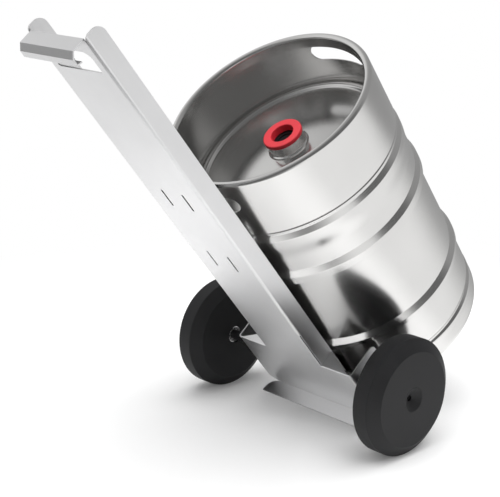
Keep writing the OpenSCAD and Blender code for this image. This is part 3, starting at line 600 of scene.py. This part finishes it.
class KEGTROLLEY_OT_neck(bpy.types.Operator):
    """Neck welded into the keg's head, and the red ring in its mouth"""

    bl_idname = "keg_trolley.neck"
    bl_label = "Neck and cap ring"

    def execute(self, context):
        inner, outer, foot, top = 0.030, 0.036, 0.373, 0.404
        neck = [
            (inner, foot, 0), (outer, foot, 0), (0.0412, 0.3798, 0.002), (0.0392, 0.3832, 0.002),
            (outer, 0.3855, 0.003), (outer, top, 0.001), (inner, top, 0),
        ]
        piece = put(turned("welded_neck", neck, segments=128), keg_place())
        finish_piece(piece, "keg", keg_finish(), "bright_steel", "keg_neck")
        bore, plug, rim, plug_end, ring_top = 0.02225, 0.02995, 0.038, 0.397, 0.412
        ring = [
            (bore, plug_end, 0.0005), (plug, plug_end, 0), (plug, top, 0), (rim, top, 0.0008),
            (rim, ring_top, 0.0026), (bore, ring_top, 0.0020),
        ]
        piece = put(turned("cap_ring", ring, segments=128), keg_place())
        finish_piece(piece, "keg", cap_finish(), "red_plastic", "neck_cap_ring")
        return {"FINISHED"}


class KEGTROLLEY_OT_fittings(bpy.types.Operator):
    """Finishes of the axle, bearings, catch and valve"""

    bl_idname = "keg_trolley.fittings"
    bl_label = "Axle, catch and valve"

    def execute(self, context):
        black = ("axle_collars", "collar_grub_screws", "axle_spacers", "axle_end_screws",
                 "catch_yoke", "rim_catch")
        for name, node in frame["nodes"].items():
            if node.hide_render:
                continue
            # The valve's parts take the near-black tyre finish, which makes the neck's mouth read
            # dark
            if name in ("valve_plunger", "valve_body", "valve_lock_ring"):
                material = tyre_finish()
            else:
                material = black_finish() if name in black else fitting_finish()
            node.data.materials.clear()
            node.data.materials.append(material)
        return {"FINISHED"}


# Stage


def ramp_along(nodes, links, direction, axis, shades):
    """Greys that follow how far a direction points along an axis."""
    aim = nodes.new("ShaderNodeVectorMath")
    aim.operation = "DOT_PRODUCT"
    aim.inputs[1].default_value = axis
    links.new(direction, aim.inputs[0])
    ramp = nodes.new("ShaderNodeValToRGB")
    for position, _ in shades[1:-1]:
        ramp.color_ramp.elements.new(position)
    for element, (position, shade) in zip(ramp.color_ramp.elements, shades):
        element.position = position
        element.color = (shade, shade, shade, 1)
    links.new(aim.outputs["Value"], ramp.inputs["Fac"])
    return ramp.outputs["Color"]


def painted_floor_glow(nodes, links, direction):
    """Painted glow that steel mirrors from the far floor: pale, darker beyond the keg's foot and
    beside the camera.
    """
    beyond = ramp_along(nodes, links, direction, (-0.469, 0.883, 0), (
        (0.0, 1.0), (0.44, 1.0), (0.6, 0.9), (0.755, 0.7), (0.88, 0.5), (1.0, 0.36)))
    beside = ramp_along(nodes, links, direction, (0.087, -0.996, 0), (
        (0.0, 1.0), (0.45, 1.0), (0.75, 0.3), (1.0, 0.22)))
    return product(nodes, links, beyond, beside)


def painted_far_glow(nodes, links, direction):
    """Share of the painted glow's grey that is left far behind the handle."""
    return ramp_along(nodes, links, direction, (-0.766, -0.643, 0), (
        (0.0, 1.0), (0.15, 0.8), (0.4, 0.33), (1.0, 0.28)))


def sky_shade(nodes, links, direction):
    """Grey of the studio above the floor: dim, and paler behind the handle."""
    behind = ramp_along(nodes, links, direction, (-0.95, -0.30, 0), (
        (0.0, 0.34), (0.35, 0.42), (0.75, 0.80)))
    beside = ramp_along(nodes, links, direction, (0.906, -0.423, 0), (
        (0.0, 1.0), (0.2, 1.0), (0.5, 0.5), (1.0, 0.4)))
    return product(nodes, links, behind, beside)


def product(nodes, links, first, second):
    node = nodes.new("ShaderNodeMixRGB")
    node.blend_type = "MULTIPLY"
    node.inputs["Fac"].default_value = 1.0
    links.new(first, node.inputs["Color1"])
    links.new(second, node.inputs["Color2"])
    return node.outputs["Color"]


def combine(nodes, links, operation, first, second):
    node = nodes.new("ShaderNodeMath")
    node.operation = operation
    for socket, value in zip(node.inputs, (first, second)):
        if isinstance(value, float):
            socket.default_value = value
        else:
            links.new(value, socket)
    return node.outputs["Value"]


def blended(nodes, links, share, first, second):
    node = nodes.new("ShaderNodeMixRGB")
    for socket, value in zip((node.inputs["Fac"], node.inputs["Color1"], node.inputs["Color2"]),
                             (share, first, second)):
        if isinstance(value, tuple):
            socket.default_value = value
        else:
            links.new(value, socket)
    return node.outputs["Color"]


def distance_step(nodes, links, distance, fade):
    """Rises softly from 0 to 1 between two distances."""
    step = nodes.new("ShaderNodeMapRange")
    step.interpolation_type = "SMOOTHSTEP"
    step.inputs["From Min"].default_value = fade[0]
    step.inputs["From Max"].default_value = fade[1]
    links.new(distance, step.inputs["Value"])
    return step.outputs["Result"]


def floor_finish():
    """White floor that keeps the shadow near the object. Further off it is plain white to the
    camera, and where steel mirrors it, it glows with painted greys in place of a studio round it."""
    material, nodes, links, shader = finish("White floor")
    if nodes is None:
        return material
    shader.inputs["Base Color"].default_value = (0.92, 0.92, 0.92, 1)
    shader.inputs["Roughness"].default_value = 0.9
    shader.inputs["Specular IOR Level"].default_value = 0.1
    place = nodes.new("ShaderNodeTexCoord").outputs["Object"]
    length = nodes.new("ShaderNodeVectorMath")
    length.operation = "LENGTH"
    links.new(place, length.inputs[0])
    away = length.outputs["Value"]
    aim = nodes.new("ShaderNodeVectorMath")
    aim.operation = "NORMALIZE"
    links.new(place, aim.inputs[0])
    direction = aim.outputs["Vector"]
    # Steel mirrors a painted glow here instead of the lit floor: white near, painted greys further
    # off
    mirror_step = distance_step(nodes, links, away, MIRROR_FADE)
    mirrored = blended(nodes, links, mirror_step, WHITE, painted_floor_glow(nodes, links, direction))
    dimmed = blended(nodes, links, distance_step(nodes, links, away, FAR_MIRROR_FADE),
                     WHITE, painted_far_glow(nodes, links, direction))
    mirrored = product(nodes, links, mirrored, dimmed)
    path = nodes.new("ShaderNodeLightPath")
    camera, glossy = path.outputs["Is Camera Ray"], path.outputs["Is Glossy Ray"]
    to_camera = combine(nodes, links, "MULTIPLY", camera,
                        distance_step(nodes, links, away, CAMERA_FADE))
    to_steel = combine(nodes, links, "MULTIPLY", glossy, mirror_step)
    share = combine(nodes, links, "MAXIMUM", combine(nodes, links, "MAXIMUM", to_camera, to_steel),
                    combine(nodes, links, "MULTIPLY", camera, NEAR_WHITE))
    # The glow is painted light: the floor is no lamp
    glow = nodes.new("ShaderNodeEmission")
    links.new(blended(nodes, links, camera, mirrored, WHITE), glow.inputs["Color"])
    mix = nodes.new("ShaderNodeMixShader")
    links.new(share, mix.inputs["Fac"])
    links.new(shader.outputs["BSDF"], mix.inputs[1])
    links.new(glow.outputs["Emission"], mix.inputs[2])
    links.new(mix.outputs["Shader"], nodes["Material Output"].inputs["Surface"])
    return material


def lamp(name, place, target, size, power):
    """A square lamp that steel doesn't mirror."""
    bpy.ops.object.light_add(type="AREA", location=place)
    light = bpy.context.active_object
    light.name = name
    light.data.shape = "RECTANGLE"
    light.data.size = light.data.size_y = size
    light.data.energy = power
    light.visible_glossy = False
    light.rotation_mode = "QUATERNION"
    light.rotation_quaternion = (Vector(target) - Vector(place)).to_track_quat("-Z", "Y")


def studio_world():
    """White to the camera, its own greys where steel mirrors it, and one grey for the rest."""
    world = bpy.data.worlds.new("Studio")
    world.use_nodes = True
    nodes, links = world.node_tree.nodes, world.node_tree.links
    path = nodes.new("ShaderNodeLightPath")
    direction = nodes.new("ShaderNodeTexCoord").outputs["Generated"]
    shade = blended(nodes, links, path.outputs["Is Glossy Ray"], AMBIENT,
                    sky_shade(nodes, links, direction))
    back = nodes["Background"]
    back.inputs["Strength"].default_value = 1.0
    links.new(shade, back.inputs["Color"])
    white = nodes.new("ShaderNodeBackground")
    white.inputs["Color"].default_value = WHITE
    white.inputs["Strength"].default_value = 1.0
    mix = nodes.new("ShaderNodeMixShader")
    links.new(path.outputs["Is Camera Ray"], mix.inputs["Fac"])
    links.new(back.outputs["Background"], mix.inputs[1])
    links.new(white.outputs["Background"], mix.inputs[2])
    links.new(mix.outputs["Shader"], nodes["World Output"].inputs["Surface"])
    return world


def studio_camera():
    camera = bpy.data.cameras.new("Camera")
    camera.lens = LENS
    camera.sensor_width = 36
    eye = bpy.data.objects.new("Camera", camera)
    bpy.context.scene.collection.objects.link(eye)
    toward = Vector((-math.sin(EYE_TURN) * math.cos(EYE_DOWN),
                     math.cos(EYE_TURN) * math.cos(EYE_DOWN), -math.sin(EYE_DOWN)))
    eye.location = EYE
    eye.rotation_mode = "QUATERNION"
    eye.rotation_quaternion = toward.to_track_quat("-Z", "Y")
    return eye


class KEGTROLLEY_OT_stage(bpy.types.Operator):
    """White floor, soft lamps and the camera"""

    bl_idname = "keg_trolley.stage"
    bl_label = "Stage"

    def execute(self, context):
        scene = context.scene
        bpy.ops.object.select_all(action="DESELECT")
        bpy.ops.mesh.primitive_plane_add(size=60, location=(0, 0, 0))
        floor = named(context.active_object, "floor")
        floor.data.materials.append(floor_finish())
        scene.world = studio_world()
        middle = (0, 0, 0.4)
        lamp("Overhead", (0.3, 0.2, 3.8), middle, size=4.6, power=215)
        lamp("Near side", (3.4, 0.2, 1.6), middle, size=1.6, power=9)
        scene.camera = studio_camera()
        scene.view_settings.view_transform = "Standard"
        return {"FINISHED"}


PIECES = (
    KEGTROLLEY_OT_sheet,
    KEGTROLLEY_OT_wheels,
    KEGTROLLEY_OT_keg_body,
    KEGTROLLEY_OT_chimes,
    KEGTROLLEY_OT_neck,
    KEGTROLLEY_OT_fittings,
    KEGTROLLEY_OT_stage,
)


class KEGTROLLEY_PT_panel(bpy.types.Panel):
    """Lists the pieces of the keg trolley"""

    bl_label = "Keg trolley"
    bl_idname = "KEGTROLLEY_PT_panel"
    bl_space_type = "VIEW_3D"
    bl_region_type = "UI"
    bl_category = "Keg trolley"

    def draw(self, context):
        for group in (sizes(), keg_sizes(), colours()):
            box = self.layout.box()
            for name in group.bl_rna.properties.keys():
                if name not in ("rna_type", "name"):
                    box.prop(group, name)
        for piece in PIECES:
            self.layout.operator(piece.bl_idname)


GROUPS = {
    "keg_trolley_sizes": TrolleySizes,
    "keg_trolley_keg": KegSizes,
    "keg_trolley_finishes": Finishes,
}


def register():
    for name, group in GROUPS.items():
        bpy.utils.register_class(group)
        setattr(bpy.types.Scene, name, bpy.props.PointerProperty(type=group))
    for kind in (*PIECES, KEGTROLLEY_PT_panel):
        bpy.utils.register_class(kind)


def unregister():
    for kind in reversed((*PIECES, KEGTROLLEY_PT_panel)):
        bpy.utils.unregister_class(kind)
    for name, group in GROUPS.items():
        delattr(bpy.types.Scene, name)
        bpy.utils.unregister_class(group)


def main():
    register()
    bpy.ops.keg_trolley.sheet()
    bpy.ops.keg_trolley.wheels()
    bpy.ops.keg_trolley.keg_body()
    bpy.ops.keg_trolley.chimes()
    bpy.ops.keg_trolley.neck()
    bpy.ops.keg_trolley.fittings()
    bpy.ops.keg_trolley.stage()


if __name__ == "__main__":
    main()
